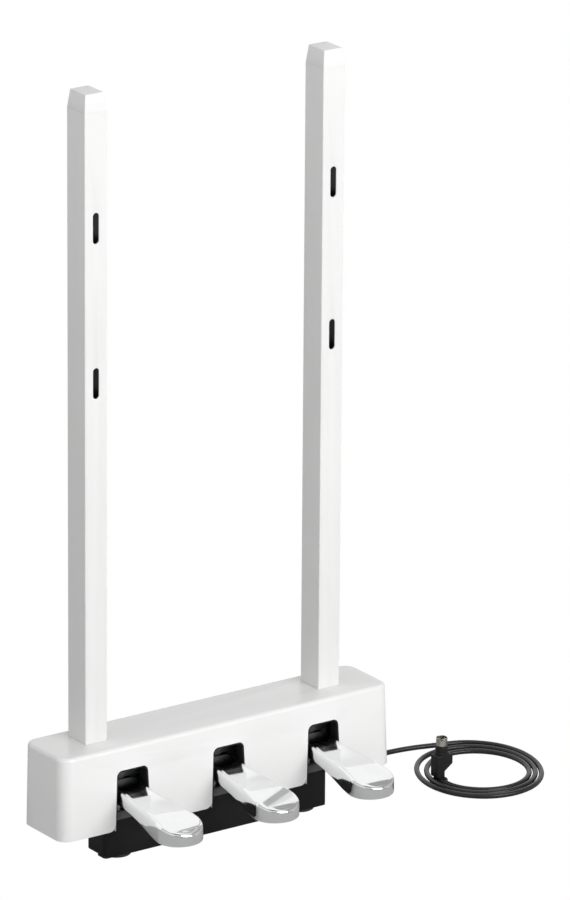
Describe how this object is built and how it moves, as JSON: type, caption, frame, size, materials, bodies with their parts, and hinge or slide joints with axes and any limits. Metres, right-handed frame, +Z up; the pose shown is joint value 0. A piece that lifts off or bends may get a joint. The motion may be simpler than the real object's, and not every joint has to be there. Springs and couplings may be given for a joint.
{
  "type": "three-pedal unit",
  "caption": "Low housing on a base tray with swinging chromed pedals, two slotted posts to bolt to a piano stand, and a coiled lead with a round plug.",
  "frame": {"origin": "on the floor, under the middle of the unit without its cord", "axes": "+Z up along the posts, +X to the right seen from the player, +Y to the back; the pedals point along -Y"},
  "size_m": [0.4544, 0.1748, 0.613],
  "materials": {
    "white_plastic": "semi-gloss white moulded",
    "white_paint": "satin white powder coat",
    "cap_plastic": "satin white moulded",
    "black_plastic": "fine matt grain",
    "grey_felt": "pressed wool felt",
    "foot_rubber": "matt",
    "stop_rubber": "matt",
    "pedal_chrome": "bright chrome plate",
    "zinc_steel": "black zinc plated",
    "spring_steel": "bright",
    "screw_steel": "black zinc plated",
    "nylon": "natural nylon",
    "board_laminate": "solder resist",
    "component_black": "moulded",
    "component_white": "moulded",
    "cord_rubber": "smooth satin PVC jacket",
    "plug_moulding": "matt PVC moulding",
    "plug_nickel": "nickel plate"
  },
  "bodies": {
    "chassis": {"housing_shell": "white_plastic", "base_tray": "black_plastic", "chassis_plate": "zinc_steel", "crossbeam": "zinc_steel", "beam_columns": "zinc_steel", "pivot_clips": "spring_steel", "spring_cups": "nylon", "upper_stops": "stop_rubber", "front_feet": "foot_rubber", "rear_feet": "foot_rubber", "sensor_board": "board_laminate", "board_clips": "zinc_steel", "board_screws": "screw_steel", "position_sensors": "component_black", "board_connector": "component_white", "cord_gland": "cord_rubber", "inner_lead": "cord_rubber", "cord_lead": "cord_rubber", "cord_coil": "cord_rubber", "plug_body": "plug_moulding", "plug_shell": "plug_nickel", "plug_insert": "component_black", "housing_screws": "screw_steel", "tray_screws": "screw_steel", "column_screws": "screw_steel", "post_bolts": "screw_steel", "left_post": "white_paint", "left_post_cap": "cap_plastic", "right_post": "white_paint", "right_post_cap": "cap_plastic", "left_slot_liner": "black_plastic", "left_stop_felt": "grey_felt", "left_pivot_bracket": "zinc_steel", "left_pivot_pin": "spring_steel", "left_return_spring": "spring_steel", "middle_slot_liner": "black_plastic", "middle_stop_felt": "grey_felt", "middle_pivot_bracket": "zinc_steel", "middle_pivot_pin": "spring_steel", "middle_return_spring": "spring_steel", "right_slot_liner": "black_plastic", "right_stop_felt": "grey_felt", "right_pivot_bracket": "zinc_steel", "right_pivot_pin": "spring_steel", "right_return_spring": "spring_steel"},
    "left_lever": {"left_pedal": "pedal_chrome", "left_pedal_arm": "zinc_steel", "left_pedal_screws": "screw_steel", "left_pivot_bushes": "nylon"},
    "middle_lever": {"middle_pedal": "pedal_chrome", "middle_pedal_arm": "zinc_steel", "middle_pedal_screws": "screw_steel", "middle_pivot_bushes": "nylon"},
    "right_lever": {"right_pedal": "pedal_chrome", "right_pedal_arm": "zinc_steel", "right_pedal_screws": "screw_steel", "right_pivot_bushes": "nylon"}
  },
  "joints": [
    {"name": "left_pedal_press", "type": "hinge", "parent": "chassis", "child": "left_lever", "pos_m": [-0.08906, 0.05535, 0.052], "axis": [1, 0, 0], "range_deg": [0, 7], "stiffness_Nm_per_rad": 6, "springref_deg": -5.73, "deforming": ["left_return_spring"]},
    {"name": "middle_pedal_press", "type": "hinge", "parent": "chassis", "child": "middle_lever", "pos_m": [0, 0.05535, 0.052], "axis": [1, 0, 0], "range_deg": [0, 7], "stiffness_Nm_per_rad": 6, "springref_deg": -5.73, "deforming": ["middle_return_spring"]},
    {"name": "right_pedal_press", "type": "hinge", "parent": "chassis", "child": "right_lever", "pos_m": [0.08906, 0.05535, 0.052], "axis": [1, 0, 0], "range_deg": [0, 7], "stiffness_Nm_per_rad": 6, "springref_deg": -5.73, "deforming": ["right_return_spring"]}
  ]
}
